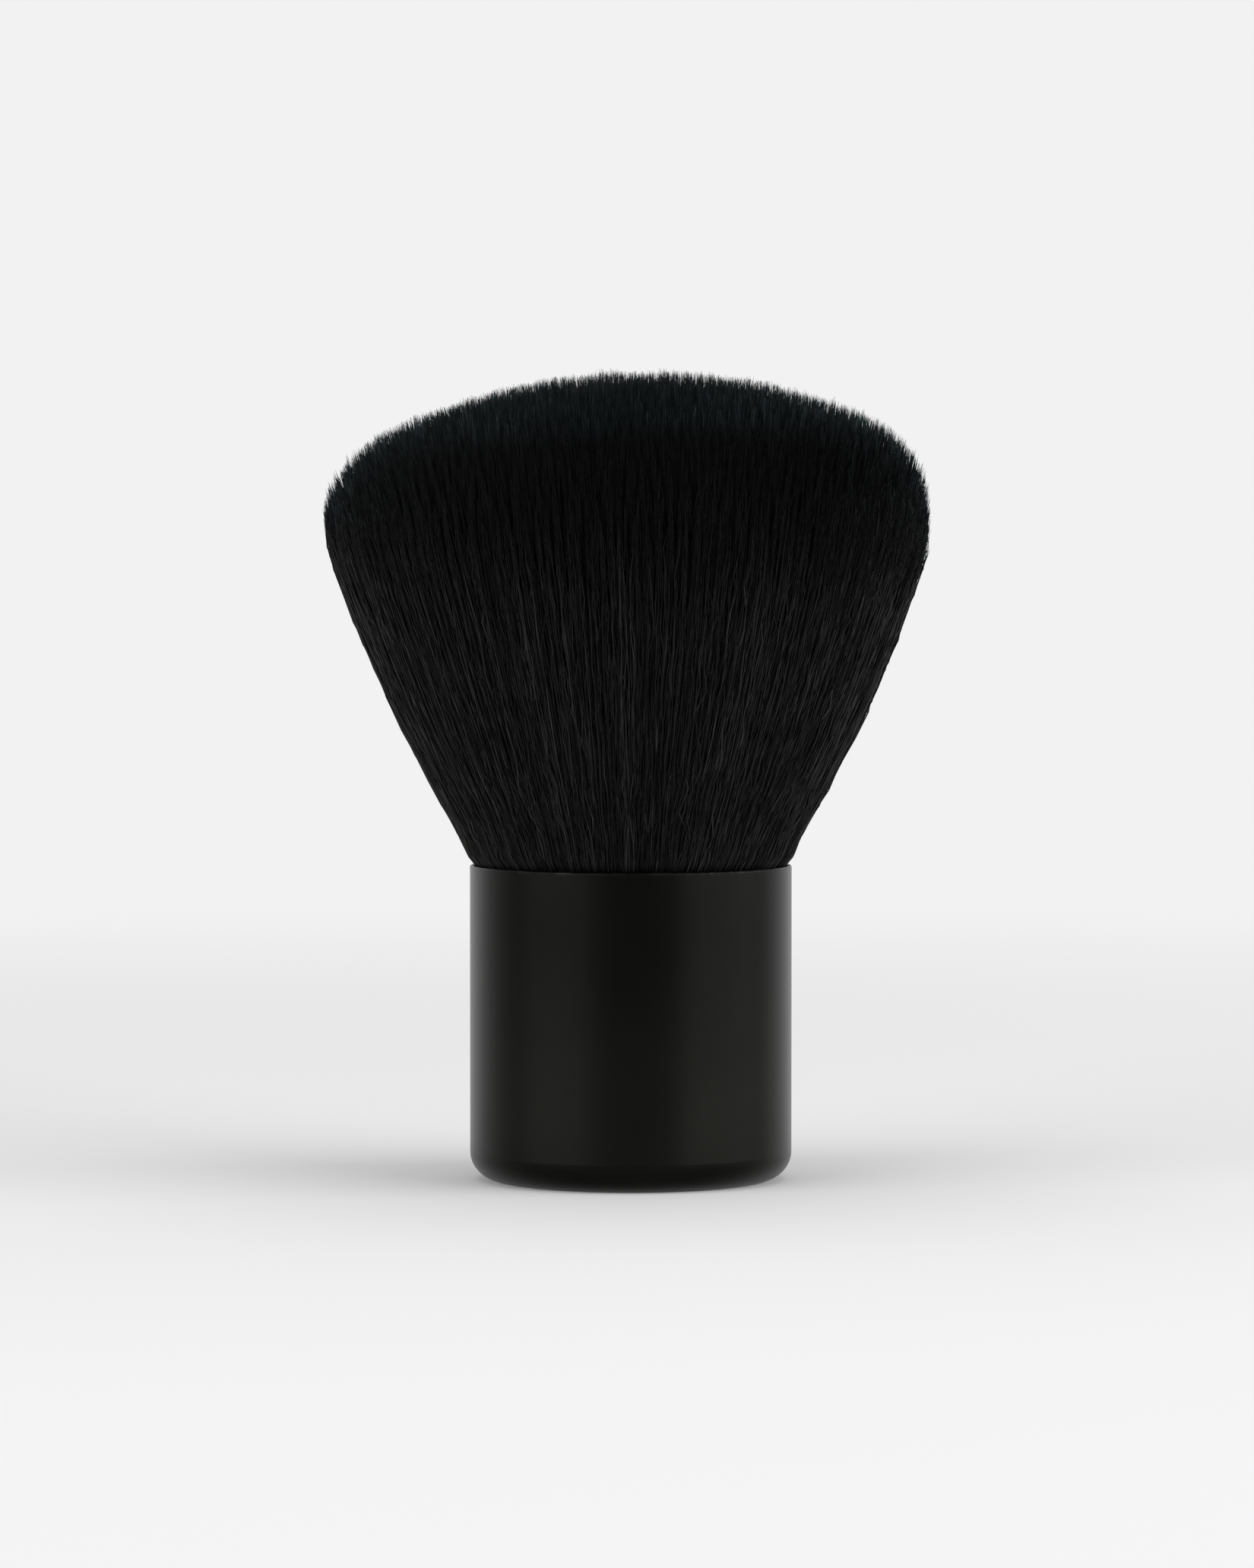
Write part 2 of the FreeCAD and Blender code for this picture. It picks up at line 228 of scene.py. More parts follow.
def object_place(tree):
    """The place of a point in its object."""
    return node(tree, "ShaderNodeTexCoord").outputs["Object"]


def height_of(tree, place):
    """The height of a place."""
    return node(tree, "ShaderNodeSeparateXYZ", None, Vector=place).outputs["Z"]


def noise(tree, place, scale, detail, **inputs):
    """Noise between 0 and 1 at a place."""
    made = node(tree, "ShaderNodeTexNoise", None, Vector=place, Scale=scale, Detail=detail, **inputs)
    return made.outputs["Fac"]


def bump(tree, height, distance, strength):
    """The normal of a surface with a relief."""
    return node(tree, "ShaderNodeBump", None, Height=height, Distance=distance, Strength=strength).outputs[0]


def principled(tree, **inputs):
    """The surface shader of a material, joined to its output."""
    shader = node(tree, "ShaderNodeBsdfPrincipled", None, **inputs)
    output = tree.nodes.new("ShaderNodeOutputMaterial")
    tree.links.new(shader.outputs[0], output.inputs[0])
    return shader


# Effects that several materials share

def new_group(name, inputs, outputs):
    """A shader node group with number inputs and its outputs."""
    group = bpy.data.node_groups.new(name, "ShaderNodeTree")
    for socket, level in inputs.items():
        made = group.interface.new_socket(socket, in_out="INPUT", socket_type="NodeSocketFloat")
        made.default_value = level
    for socket in outputs:
        group.interface.new_socket(socket, in_out="OUTPUT", socket_type="NodeSocketFloat")
    return group, group.nodes.new("NodeGroupInput").outputs, group.nodes.new("NodeGroupOutput").inputs


def make_grain_group():
    """Fine grain of a blasted, cast or drawn surface, with a slow unevenness over it."""
    levels = {"Scale": 9000.0, "Drift Scale": 160.0}
    group, given, result = new_group("fine_grain", levels, ("Grain", "Drift"))
    place = object_place(group)
    group.links.new(noise(group, place, given["Scale"], 3.0, Roughness=0.6), result["Grain"])
    group.links.new(noise(group, place, given["Drift Scale"], 2.0), result["Drift"])
    return group


def make_rim_group():
    """Rubbed edges: a broken band at the top and at the foot of a turned piece."""
    levels = {"Foot": 0.0, "Top": 0.03, "Width": 0.0005}
    group, given, result = new_group("rubbed_rims", levels, ("Rub",))
    place = object_place(group)
    height = height_of(group, place)
    above_foot = math_node(group, "SUBTRACT", height, given["Foot"])
    below_top = math_node(group, "SUBTRACT", given["Top"], height)
    nearer = math_node(group, "MINIMUM", above_foot, below_top)
    band = fade(group, math_node(group, "DIVIDE", nearer, given["Width"]), 0.0, 1.0, 1.0, 0.0)
    breaks = noise(group, place, 900.0, 4.0)
    broken = math_node(group, "MULTIPLY", band, fade(group, breaks, 0.42, 0.68))
    group.links.new(broken, result["Rub"])
    return group


GRAIN = make_grain_group()
RIMS = make_rim_group()


def grain_of(tree, scale, drift_scale):
    """The grain and the slow unevenness of a surface."""
    made = node(tree, "ShaderNodeGroup", {"node_tree": GRAIN}, Scale=scale, Drift_Scale=drift_scale)
    return made.outputs["Grain"], made.outputs["Drift"]


def rim_rub(tree, foot, top, width):
    """The rub on the edges of a piece between two heights."""
    made = node(tree, "ShaderNodeGroup", {"node_tree": RIMS}, Foot=foot, Top=top, Width=width)
    return made.outputs["Rub"]


# Materials

def anodised_black():
    """Satin black anodised metal with a blasted grain, edges partly rubbed and partly painted highlight, and
    a foot lightened by a painted floor reflection.
    """
    material, tree = new_tree("anodised_black")
    grain, drift = grain_of(tree, 9000.0, 140.0)
    # the rub is wear on both rims, and on the lip also a painted highlight where its rounding would catch
    # light
    rub = rim_rub(tree, 0.0, LIP_HEIGHT, HANDLE_RUB_AND_HIGHLIGHT_WIDTH)
    base = mix_colours(tree, drift, (0.0043, 0.0044, 0.0038, 1.0), (0.0057, 0.0058, 0.0050, 1.0))
    # painted floor reflection: the colour is lightened towards the foot of the handle
    height = height_of(tree, object_place(tree))
    painted_foot_reflection = fade(tree, height, FOOT_REFLECTION_START, FOOT_REFLECTION_END, FOOT_REFLECTION_GAIN, 1.0)
    base = mix_colours(tree, 1.0, base, painted_foot_reflection, "MULTIPLY")
    colour = mix_colours(tree, rub, base, grey(0.014, 0.04))
    roughness = math_node(tree, "MULTIPLY_ADD", grain, 0.10, 0.27)
    relief = bump(tree, grain, 0.004 * MM, 0.5)
    shader = principled(tree, Base_Color=colour, Roughness=roughness, Normal=relief)
    shader.inputs["Metallic"].default_value = 1.0
    return material


def plain_finish(name, low, high, roughness, scale, depth, metallic=0.0, ior=1.45, ends=None, rubbed=None):
    """A grained finish between two colours, with rubbed rims where the heights of its ends are given."""
    material, tree = new_tree(name)
    grain, drift = grain_of(tree, scale, scale / 20)
    colour = mix_colours(tree, drift, low, high)
    if ends:
        colour = mix_colours(tree, rim_rub(tree, *ends, INNER_RUB_WIDTH), colour, rubbed)
    uneven = math_node(tree, "MULTIPLY_ADD", grain, 0.2, roughness - 0.1)
    shader = principled(tree, Base_Color=colour, Roughness=uneven, Normal=bump(tree, grain, depth, 0.6))
    shader.inputs["Metallic"].default_value = metallic
    shader.inputs["IOR"].default_value = ior
    return material


def bristle_fibre():
    """Black synthetic filament: every one its own tone, with painted shade darkening it towards the end, and
    greener at its tip.
    """
    material, tree = new_tree("bristle_fibre")
    place = node(tree, "ShaderNodeUVMap", {"uv_map": "OFBake"}).outputs[0]
    axes = node(tree, "ShaderNodeSeparateXYZ", None, Vector=place)
    shade, along = axes.outputs["X"], axes.outputs["Y"]
    own = ramp_of(tree, shade, {0.0: grey(0.003), 0.4: grey(0.008), 0.75: grey(0.022, 0.01),
                                1.0: grey(0.042, 0.02)})
    # along each filament: the warmth near the root is its own colour; the darkening towards the end is
    # painted shade, a dark upper band on the head
    length = ramp_of(tree, along, {0.05: (0.8, 0.79, 0.76, 1.0), 0.35: grey(0.85), 0.62: grey(0.95),
                                   0.76: grey(0.8), 0.86: grey(0.45), 0.95: grey(0.13)})
    colour = mix_colours(tree, 1.0, own, length, "MULTIPLY")
    # painted shade: stretches of each filament darkened, as if it dived in among the others
    spread_out = node(tree, "ShaderNodeVectorMath", {"operation": "MULTIPLY"})
    put(tree, spread_out.inputs[0], place)
    put(tree, spread_out.inputs[1], (900.0, 22.0, 0.0))
    painted_dive_shade = noise(tree, spread_out.outputs[0], 1.0, 1.0)
    colour = mix_colours(tree, fade(tree, painted_dive_shade, 0.38, 0.62, 0.75, 0.0), colour, grey(0.0008))
    # the greener tip is the filament's own colour; the palest tips, on the palest filaments that also stand
    # longest, are partly painted light where the fringe catches light from behind
    tip = ramp_of(tree, shade, {0.0: (0.0006, 0.0016, 0.002, 1.0), 0.7: (0.0028, 0.006, 0.0072, 1.0),
                                0.85: (0.016, 0.026, 0.03, 1.0), 1.0: (0.07, 0.1, 0.108, 1.0)})
    colour = mix_colours(tree, fade(tree, along, 0.935, 0.998), colour, tip)
    roughness = fade(tree, shade, 0.0, 1.0, 0.48, 0.36)
    shader = principled(tree, Base_Color=colour, Roughness=roughness)
    shader.inputs["Specular IOR Level"].default_value = 0.08
    return material


def bristle_shadow():
    """The dark inside of the tuft, streaked up its length, seen only between filaments."""
    material, tree = new_tree("bristle_shadow")
    place = object_place(tree)
    stretched = node(tree, "ShaderNodeMapping", None, Vector=place, Scale=(5000.0, 5000.0, 200.0)).outputs[0]
    streaks = noise(tree, stretched, 1.0, 2.0)
    colour = ramp_of(tree, streaks, {0.35: grey(0.0003), 0.52: (0.0006, 0.0009, 0.001, 1.0),
                                     0.7: (0.0022, 0.0031, 0.0034, 1.0)})
    shader = principled(tree, Base_Color=colour, Roughness=fade(tree, streaks, 0.3, 0.7, 0.7, 0.9))
    shader.inputs["Specular IOR Level"].default_value = 0.02
    return material


def ends_of(name):
    """The heights of the foot and of the top of a CAD piece."""
    return [corner.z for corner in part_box(name)]


def dress_inside():
    """Finishes of the handle and of the pieces that it holds."""
    finishes = {
        "handle_shell": anodised_black(),
        "weight_pad": plain_finish(
            "foam_grey", grey(0.05), grey(0.09), roughness=0.85, scale=4000.0, depth=0.05 * MM),
        "base_weight": plain_finish(
            "zinc_steel", grey(0.46, 0.01), grey(0.56, 0.02), roughness=0.42, scale=2500.0, depth=0.01 * MM,
            metallic=1.0, ends=ends_of("base_weight"), rubbed=grey(0.7)),
        "core_insert": plain_finish(
            "moulded_black", grey(0.018), grey(0.026), roughness=0.5, scale=5000.0, depth=0.01 * MM,
            ends=ends_of("core_insert"), rubbed=grey(0.05)),
        "seat_adhesive": plain_finish(
            "cured_glue", (0.55, 0.44, 0.26, 1.0), (0.64, 0.53, 0.33, 1.0), roughness=0.3, scale=700.0,
            depth=0.03 * MM, ior=1.5),
        "tuft_ferrule": plain_finish(
            "bright_sleeve", grey(0.62), grey(0.72), roughness=0.3, scale=3000.0, depth=0.005 * MM,
            metallic=1.0, ends=ends_of("tuft_ferrule"), rubbed=grey(0.85)),
        "root_resin": plain_finish(
            "amber_resin", (0.11, 0.07, 0.03, 1.0), (0.17, 0.11, 0.05, 1.0), roughness=0.35, scale=1500.0,
            depth=0.02 * MM, ior=1.5),
        "binding_thread": plain_finish(
            "waxed_thread", grey(0.30, 0.06), grey(0.42, 0.08), roughness=0.7, scale=9000.0,
            depth=0.03 * MM),
    }
    for name, finish in finishes.items():
        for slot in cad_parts[name].material_slots:
            slot.material = finish


# Outline of the head

def head_arcs():
    """Centres and joins of the flare, shoulder and dome arcs, as distances from the axis and heights."""
    across = HEAD_RADIUS - SHOULDER_RADIUS
    dome_up = TIP_HEIGHT - DOME_RADIUS
    up = dome_up + math.sqrt((DOME_RADIUS - SHOULDER_RADIUS) ** 2 - across**2)
    apart = math.hypot(across - MOUTH_RADIUS, up - LIP_HEIGHT)
    inside = FLARE_RADIUS - SHOULDER_RADIUS
    along = (FLARE_RADIUS**2 - inside**2 + apart**2) / (2 * apart)
    aside = math.sqrt(FLARE_RADIUS**2 - along**2)
    ahead_across = (across - MOUTH_RADIUS) / apart
    ahead_up = (up - LIP_HEIGHT) / apart
    flare_across = MOUTH_RADIUS + ahead_across * along - ahead_up * aside
    flare_up = LIP_HEIGHT + ahead_up * along + ahead_across * aside
    flare_join = flare_up + (up - flare_up) * FLARE_RADIUS / inside
    dome_join = dome_up + (up - dome_up) * DOME_RADIUS / (DOME_RADIUS - SHOULDER_RADIUS)
    return {"across": across, "up": up, "dome_up": dome_up, "flare_across": flare_across,
            "flare_up": flare_up, "flare_join": flare_join, "dome_join": dome_join}


ARCS = head_arcs()


def flare_reach(height):
    """Distance of the flare from the axis at a height, carried on above the shoulder."""
    return ARCS["flare_across"] + np.sqrt(FLARE_RADIUS**2 - (height - ARCS["flare_up"]) ** 2)


def crown_reach(height):
    """Distance of the shoulder and dome from the axis at a height above the flare."""
    dome = np.sqrt(np.maximum(DOME_RADIUS**2 - (height - ARCS["dome_up"]) ** 2, 0.0))
    shoulder = ARCS["across"] + np.sqrt(np.maximum(SHOULDER_RADIUS**2 - (height - ARCS["up"]) ** 2, 0.0))
    return np.where(height > ARCS["dome_join"], dome, shoulder)


def tip_height(root):
    """Height at which each filament meets the outline, which is trimmed a little higher on one side."""
    share = np.linalg.norm(root, axis=1)
    low = np.full_like(share, LIP_HEIGHT)
    high = np.full_like(share, TIP_HEIGHT + TRIM_TILT * HEAD_RADIUS)
    for _ in range(40):
        middle = (low + high) / 2
        trimmed = middle - TRIM_TILT * root[:, 0] * flare_reach(middle)
        inside = (trimmed < ARCS["flare_join"]) | (share * flare_reach(middle) < crown_reach(trimmed))
        low = np.where(inside, middle, low)
        high = np.where(inside, high, middle)
    return low


# Filaments

def held_share(content, low, high):
    """How far values lie from low to high, held between 0 and 1."""
    return np.clip((content - low) / (high - low), 0.0, 1.0)


def scatter(count, rng):
    """Even but unruly points in a disc of radius 1."""
    number = np.arange(count)
    reach = np.sqrt((number + 0.5) / count)
    turn = number * GOLDEN_ANGLE
    points = np.stack((reach * np.cos(turn), reach * np.sin(turn)), axis=1)
    points += rng.normal(0.0, SCATTER_SHARE * math.sqrt(math.pi / count), points.shape)
    reach = np.linalg.norm(points, axis=1, keepdims=True)
    return points * np.minimum(1.0, LARGEST_SHARE / np.maximum(reach, 1e-9))


def thin_out(points, rng):
    """The same points with only a few left in the loose outer layer, and the rest moved in below it."""
    share = np.linalg.norm(points, axis=1)
    crowded = (share > 1.0 - LOOSE_DEPTH) & (rng.random(len(points)) > LOOSE_SHARE)
    deeper = rng.uniform(1.0 - LOOSE_LAYERS * LOOSE_DEPTH, 1.0 - LOOSE_DEPTH, len(points))
    deeper /= np.maximum(share, 1e-9)
    return np.where(crowded[:, None], points * deeper[:, None], points)


def nearest(points, centers):
    """Number of the nearest centre to each point."""
    tree = KDTree(len(centers))
    for number, (x, y) in enumerate(centers):
        tree.insert((x, y, 0.0), number)
    tree.balance()
    return np.array([tree.find((x, y, 0.0))[1] for x, y in points])


def make_filaments():
    """Roots, tips and habits of all the filaments, as arrays."""
    rng = np.random.default_rng(SEED)
    root = thin_out(scatter(FILAMENTS, rng), rng)
    centers = scatter(TUFTS, rng)
    tuft = nearest(root, centers)
    share = np.linalg.norm(root, axis=1)
    shoulder = held_share(share, *SHOULDER_SHARES)
    side = np.abs(root[:, 0])
    corner = CORNER_LIFT * shoulder * np.clip(-root[:, 0], 0.0, 1.0) ** CORNER_POWER
    tuft_length = rng.normal(0.0, TUFT_LENGTH_SPREAD, TUFTS)
    tuft_pull = rng.uniform(*TUFT_PULLS, TUFTS)
    tuft_shade = rng.random(TUFTS)
    own_shade = rng.random(FILAMENTS)
    shortfall = rng.gamma(SHORTFALL_SHAPE, SHORTFALL, FILAMENTS)
    shortfall *= DARK_SHORTFALL_SHARE + (PALE_SHORTFALL_SHARE - DARK_SHORTFALL_SHARE) * own_shade
    shade = TUFT_SHADE_SHARE * tuft_shade[tuft] + (1.0 - TUFT_SHADE_SHARE) * own_shade
    own_pull = rng.uniform(*OWN_PULL_SHARES, FILAMENTS)
    points = LOWER_POINTS + UPPER_POINTS - 1
    stray = rng.normal(0.0, STRAY_SPREAD, (FILAMENTS, points, 2))
    stray *= rng.gamma(STRAY_SHAPE, 1 / STRAY_SHAPE, (FILAMENTS, 1, 1))
    bulge = rng.normal(TUFT_BULGE, TUFT_BULGE_SPREAD, TUFTS)[tuft]
    bulge = bulge + rng.normal(0.0, OWN_BULGE_SPREAD, FILAMENTS)
    return {
        "root": root,
        "center": centers[tuft],
        "tip": tip_height(root) + corner + TRIM_RISE + tuft_length[tuft] - shortfall,
        "pull": tuft_pull[tuft] * own_pull * (1.0 + shoulder),
        "stray": stray,
        "bulge": bulge,
        "cut": CUT_HEIGHT + rng.uniform(-CUT_SPREAD, CUT_SPREAD, FILAMENTS),
        "point": rng.uniform(*TUFT_POINTS, TUFTS)[tuft] * (1.0 + SHOULDER_POINT_GAIN * shoulder),
        # painted light: the shade value is raised at the sides of the head and lowered in the middle
        "shade": np.clip(shade + SIDE_PAINTED_LIGHT * (side - MIDDLE_SIDE), 0.0, 1.0),
        "thickness": rng.uniform(*THICKNESS_SHARES, FILAMENTS),
        # painted shade on the crown at front and back, painted light on the shoulders at the sides
        "lag": CROWN_SHADE_LAG * held_share(share, *CROWN_SHARES) * (1.0 - side**2),
        "side_lag": SIDE_LIGHT_LAG * shoulder * side**2,
    }


def chosen(filaments, mask):
    """The same arrays for some of the filaments."""
    return {name: content[mask] for name, content in filaments.items()}


def filament_paths(filaments, heights, stray):
    """Points of each filament at its heights, drawn towards its tuft and straying from a straight fan."""
    rise = held_share(heights, LIP_HEIGHT, TIP_HEIGHT)[..., None]
    root = filaments["root"][:, None, :]
    to_tip = filaments["tip"][:, None] - heights
    near_tip = np.clip(1.0 - to_tip / POINT_LENGTH, 0.0, 1.0)[..., None]
    drawn = filaments["pull"][:, None, None] * rise**PULL_POWER
    drawn = drawn + filaments["point"][:, None, None] * near_tip**2
    spot = root + np.minimum(drawn, PULL_LIMIT) * (filaments["center"][:, None, :] - root)
    puff = LIP_PUFF * np.exp(-(((heights - LIP_HEIGHT - PUFF_RISE) / PUFF_SPREAD) ** 2))
    place = spot * (flare_reach(heights) + puff)[..., None]
    place = place + stray * np.minimum(1.0, rise * STRAY_GROWTH) * (STRAY_AT_FOOT - STRAY_LOSS * rise)
    reach = np.linalg.norm(place, axis=2)
    limit = np.minimum(LARGEST_SHARE * flare_reach(heights) + puff, WIDEST_REACH)
    limit = limit + filaments["bulge"][:, None] * rise[..., 0]
    held = np.where(reach > limit, limit + STRAY_SHARE * (reach - limit), reach)
    place = place * (held / np.maximum(reach, MERGE_GAP))[..., None]
    place[..., 0] -= HEAD_LEAN * rise[..., 0] ** 2
    return np.concatenate((place, heights[..., None]), axis=2)


def filament_piece(name, filaments, heights, stray, finish):
    """A mesh of tapered filaments through their heights."""
    points = filament_paths(filaments, heights, stray)
    to_tip = filaments["tip"][:, None] - heights
    taper = np.clip(to_tip / TAPER_LENGTH, 0.0, 1.0) ** TAPER_POWER
    taper = TIP_THICKNESS_SHARE + (1.0 - TIP_THICKNESS_SHARE) * taper
    radii = filaments["thickness"][:, None] * taper
    curve = bpy.data.curves.new(name, "CURVE")
    curve.dimensions = "3D"
    curve.bevel_depth = FILAMENT_RADIUS
    curve.bevel_resolution = 0
    spots = np.concatenate((points, np.ones((*heights.shape, 1))), axis=2)
    for spot, radius in zip(spots, radii):
        spline = curve.splines.new("POLY")
        spline.points.add(len(radius) - 1)
        spline.points.foreach_set("co", spot.ravel())
        spline.points.foreach_set("radius", radius)
    holder = bpy.data.objects.new(name, curve)
    bpy.context.scene.collection.objects.link(holder)
    graph = bpy.context.evaluated_depsgraph_get()
    mesh = bpy.data.meshes.new_from_object(holder.evaluated_get(graph))
    bpy.data.objects.remove(holder)
    bpy.data.curves.remove(curve)
    # the lags move where the painted dark band and the painted pale tips fall along each filament
    from_tip = to_tip + filaments["lag"][:, None]
    from_tip += filaments["side_lag"][:, None] * (1.0 - np.exp(-to_tip / LAG_GROWTH))
    map_filaments(mesh, filaments["shade"], np.clip(1.0 - from_tip / LONGEST_FILAMENT, 0.0, 1.0))
    return new_piece(name, mesh, finish)


def map_filaments(mesh, shade, along):
    """A map of shade across and of length along, the same all round each filament."""
    corners = np.empty(len(mesh.loops), dtype=np.int32)
    mesh.loops.foreach_get("vertex_index", corners)
    ring = corners // FILAMENT_SIDES
    side = corners % FILAMENT_SIDES % 2
    across = (1.0 - 4 * SHADE_MARGIN) * shade[ring // along.shape[1]] + SHADE_MARGIN * (1 + 2 * side)
    layer = mesh.uv_layers.new(name="OFBake")
    layer.data.foreach_set("uv", np.column_stack((across, along.ravel()[ring])).ravel())


def new_piece(name, mesh, finish):
    """A piece of the head with its finish, linked into the scene."""
    mesh.name = name
    mesh.materials.clear()
    mesh.materials.append(finish)
    piece = bpy.data.objects.new(name, mesh)
    bpy.context.scene.collection.objects.link(piece)
    return piece


def bend_lower(piece):
    """Bakes the placing of the foot of the filaments, which nods on the handle, and hides the CAD root and
    band.
    """
    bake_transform(piece)
    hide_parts("bristle_root", "bristle_band")


def bend_upper(piece):
    """Bakes the placing of the free length of the filaments, which sways on the band, and hides the CAD
    head.
    """
    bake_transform(piece)
    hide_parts("bristle_head")


def sectors(filaments, count):
    """The filaments of each equal sector round the axis."""
    azimuth = np.arctan2(filaments["root"][:, 1], filaments["root"][:, 0])
    number = np.floor((azimuth + math.pi) / (2 * math.pi) * count).astype(int) % count
    for sector in range(count):
        yield sector + 1, chosen(filaments, number == sector)


def spin_piece(name, outline, finish):
    """A closed piece turned about the axis from an outline that starts and ends on it."""
    shape = bmesh.new()
    spots = [shape.verts.new((across, 0.0, up)) for across, up in outline]
    edges = [shape.edges.new(pair) for pair in zip(spots, spots[1:])]
    bmesh.ops.spin(shape, geom=spots + edges, cent=(0, 0, 0), axis=(0, 0, 1), angle=2 * math.pi,
                   steps=HEART_STEPS, use_merge=True)
    bmesh.ops.remove_doubles(shape, verts=shape.verts, dist=MERGE_GAP)
    bmesh.ops.recalc_face_normals(shape, faces=shape.faces)
    mesh = bpy.data.meshes.new(name)
    shape.to_mesh(mesh)
    shape.free()
    mesh.shade_smooth()
    return new_piece(name, mesh, finish)


def lean_over(mesh):
    """Moves a turned piece the way the filaments lean and are trimmed."""
    for vertex in mesh.vertices:
        rise = min(max((vertex.co.z - LIP_HEIGHT) / HEAD_HEIGHT, 0.0), 1.0)
        vertex.co.z += TRIM_TILT * vertex.co.x * rise**3
        vertex.co.x -= HEAD_LEAN * rise**2


def make_heart(finish):
    """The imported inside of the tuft, a little within the filaments that show."""
    foot = LIP_HEIGHT - ROOT_DEPTH
    shares = np.linspace(HEART_SHARE, 0.0, HEART_TOP_RINGS)
    edge = held_share(shares, HEART_EDGE_SHARE, HEART_SHARE)
    tops = tip_height(np.stack((np.zeros_like(shares), shares), axis=1))
    tops = tops - HEART_DROP - HEART_SLOPE * edge**2

    def side(low, high, rings):
        heights = np.linspace(low, high, rings)
        return [(HEART_SHARE * float(flare_reach(height)), height) for height in heights]

    lower = [(0.0, foot), *side(foot, CUT_HEIGHT, HEART_LOWER_RINGS), (0.0, CUT_HEIGHT)]
    bend_lower(spin_piece("bristle_heart_lower", lower, finish))
    upper = [(0.0, CUT_HEIGHT), *side(CUT_HEIGHT, tops[0], HEART_UPPER_RINGS)]
    for share, top in zip(shares[1:], tops[1:]):
        upper.append((share * float(flare_reach(top)), top))
    piece = spin_piece("bristle_heart_upper", upper, finish)
    lean_over(piece.data)
    bend_upper(piece)


def spread(low, high, count, power=1.0):
    """Heights from low to high for each filament, evenly spaced for a power of 1."""
    steps = np.linspace(0.0, 1.0, count) ** power
    return low[:, None] + (high - low)[:, None] * steps


def make_bristles():
    """Long filaments that show down the flank, in two lengths, and the ends of those inside the crown."""
    fibre = bristle_fibre()
    make_heart(bristle_shadow())
    filaments = make_filaments()
    share = np.linalg.norm(filaments["root"], axis=1)
    outer = chosen(filaments, share > OUTER_SHARE)
    inner = chosen(filaments, share <= OUTER_SHARE)
    for number, group in sectors(outer, FOOT_SECTORS):
        foot = np.full_like(group["tip"], LIP_HEIGHT - ROOT_DEPTH)
        heights = spread(foot, group["cut"], LOWER_POINTS)
        stray = group["stray"][:, :LOWER_POINTS]
        bend_lower(filament_piece(f"bristle_foot_{number}", group, heights, stray, fibre))
    for number, group in sectors(outer, FLANK_SECTORS):
        heights = spread(group["cut"], group["tip"], UPPER_POINTS, FLANK_POWER)
        stray = group["stray"][:, LOWER_POINTS - 1:]
        bend_upper(filament_piece(f"bristle_flank_{number}", group, heights, stray, fibre))
    for number, group in sectors(inner, CROWN_SECTORS):
        heights = spread(group["tip"] - CROWN_DEPTH, group["tip"], CROWN_POINTS, CROWN_POWER)
        stray = group["stray"][:, -CROWN_POINTS:]
        bend_upper(filament_piece(f"bristle_crown_{number}", group, heights, stray, fibre))


# Studio

BACKDROP = 0.887
FILL = 0.4
FLOOR_GLOW = 0.07
FLOOR_RADIUS = 0.6
FLOOR_FADE_START = 0.07
FLOOR_FADE_END = 0.45
PANEL_DISTANCE = 0.8
PANEL_RISE = 0.2
PANEL_HEIGHT = 0.4
LAMP_AIM = (0.0, 0.0, 0.03)
TOP_PLACE = (0.0, 0.1, 1.0)
TOP_SIZE = 0.9
SENSOR_WIDTH = 36.0
LENS = 127.3
NEAREST_SEEN = 0.01
CAMERA_PLACE = Vector((-0.33, -482.0, 50.3)) * MM
CAMERA_AIM = Vector((-0.33, 0.0, 34.4)) * MM


def seen_rays(tree):
    """One for rays that show the backdrop: straight to the camera, in a reflection or through glass."""
    path = tree.nodes.new("ShaderNodeLightPath").outputs
    seen = math_node(tree, "MAXIMUM", path["Is Camera Ray"], path["Is Glossy Ray"])
    return math_node(tree, "MAXIMUM", seen, path["Is Transmission Ray"])


def make_world():
    """A pale room, whose colour shows to the camera and in reflections, with a gentler fill light."""
    world = bpy.data.worlds.new("pale_room")
    bpy.context.scene.world = world
    world.use_nodes = True
    tree = world.node_tree
    tree.nodes.clear()
    strength = math_node(tree, "MULTIPLY_ADD", seen_rays(tree), BACKDROP - FILL, FILL)
    room = node(tree, "ShaderNodeBackground", None, Color=(1.0, 1.0, 1.0, 1.0), Strength=strength)
    output = tree.nodes.new("ShaderNodeOutputWorld")
    tree.links.new(room.outputs[0], output.inputs[0])


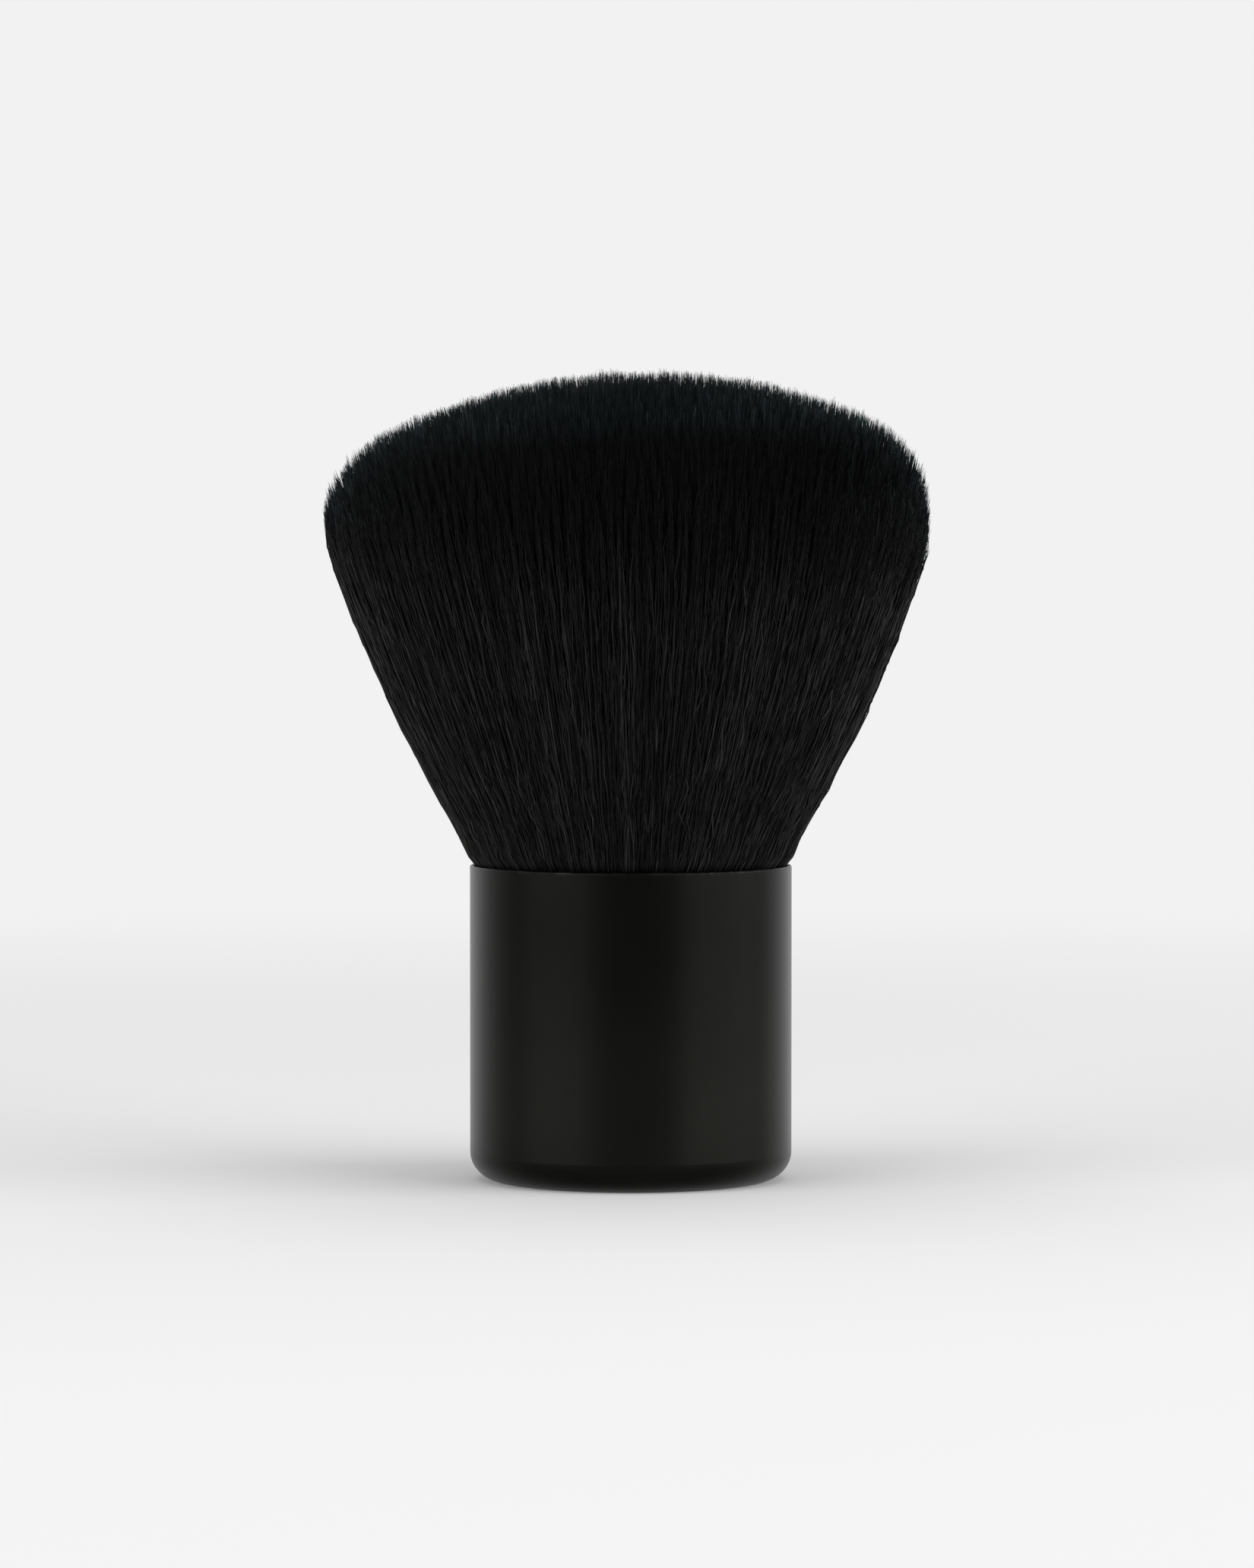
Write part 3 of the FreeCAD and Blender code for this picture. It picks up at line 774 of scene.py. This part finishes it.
def make_floor():
    """A pale disc that takes the brush's shadow and fades into the room, with a faint glow in view."""
    material, tree = new_tree("pale_floor")
    place = object_place(tree)
    reach = node(tree, "ShaderNodeVectorMath", {"operation": "LENGTH"}, Vector=place).outputs["Value"]
    cover = fade(tree, reach, FLOOR_FADE_START, FLOOR_FADE_END, 1.0, 0.0)
    glow = math_node(tree, "MULTIPLY", seen_rays(tree), FLOOR_GLOW)
    shader = principled(tree, Roughness=1.0, Alpha=cover, Emission_Strength=glow)
    shader.inputs["Base Color"].default_value = grey(0.9)
    shader.inputs["Emission Color"].default_value = grey(1.0)
    shader.inputs["Specular IOR Level"].default_value = 0.0
    shape = bmesh.new()
    bmesh.ops.create_circle(shape, cap_ends=True, segments=96, radius=FLOOR_RADIUS)
    mesh = bpy.data.meshes.new("floor")
    shape.to_mesh(mesh)
    shape.free()
    mesh.materials.append(material)
    floor = bpy.data.objects.new("floor", mesh)
    bpy.context.scene.collection.objects.link(floor)


def aimed(place, aim):
    """The turn of a lamp or camera that looks from a place at an aim."""
    return (Vector(aim) - Vector(place)).to_track_quat("-Z", "Y").to_euler()


def softbox(name, place, width, height, radiance):
    """A soft panel lamp of a given brightness, turned to the brush."""
    lamp = bpy.data.lights.new(name, "AREA")
    lamp.shape = "RECTANGLE"
    lamp.size = width
    lamp.size_y = height
    lamp.energy = math.pi * width * height * radiance
    panel = bpy.data.objects.new(name, lamp)
    panel.location = place
    panel.rotation_euler = aimed(place, LAMP_AIM)
    bpy.context.scene.collection.objects.link(panel)


def side_panel(name, azimuth, width, radiance):
    """A low panel beside the brush, with the azimuth measured from the camera's side."""
    turn = math.radians(azimuth)
    place = (PANEL_DISTANCE * math.sin(turn), -PANEL_DISTANCE * math.cos(turn), PANEL_RISE)
    softbox(name, place, width, PANEL_HEIGHT, radiance)


def make_lamps():
    """Two low panels, whose reflections leave the front of the handle dark, and a soft light from above."""
    side_panel("left_panel", azimuth=-54, width=0.8, radiance=4.2)
    side_panel("right_panel", azimuth=67, width=0.95, radiance=5.6)
    softbox("top_panel", TOP_PLACE, TOP_SIZE, TOP_SIZE, radiance=0.8)


def make_camera():
    """A long lens in front of the brush, level with its head and looking slightly down."""
    lens = bpy.data.cameras.new("camera")
    lens.sensor_width = SENSOR_WIDTH
    lens.lens = LENS
    lens.clip_start = NEAREST_SEEN
    camera = bpy.data.objects.new("camera", lens)
    camera.location = CAMERA_PLACE
    camera.rotation_euler = aimed(CAMERA_PLACE, CAMERA_AIM)
    bpy.context.scene.collection.objects.link(camera)
    bpy.context.scene.camera = camera


make_camera()
make_world()
make_floor()
make_lamps()
dress_inside()
make_bristles()
bpy.context.scene.view_settings.view_transform = "Standard"
